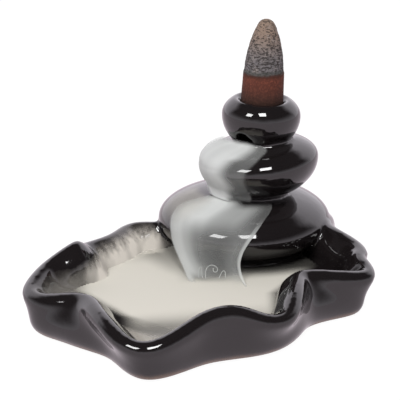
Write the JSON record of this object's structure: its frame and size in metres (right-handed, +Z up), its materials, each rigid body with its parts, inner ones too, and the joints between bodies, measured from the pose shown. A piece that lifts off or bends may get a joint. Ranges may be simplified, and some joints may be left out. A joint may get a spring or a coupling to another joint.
{
  "type": "backflow incense burner",
  "caption": "Black glazed ceramic backflow incense burner: a ruffled dish with stacked pebbles at the back, a smoke outlet under the top pebble, and a half burnt incense cone.",
  "frame": {"origin": "on the table, under the middle of the burner's bounding box", "axes": "+Z up, +Y towards the stack of pebbles at the back, +X to the right of someone who looks at the burner from the front"},
  "size_m": [0.1001, 0.1124, 0.0776],
  "materials": {
    "black_glaze": "gloss",
    "incense": "matt"
  },
  "bodies": {
    "root": {"burner_body": "black_glaze", "incense_cone": "incense"}
  },
  "joints": []
}
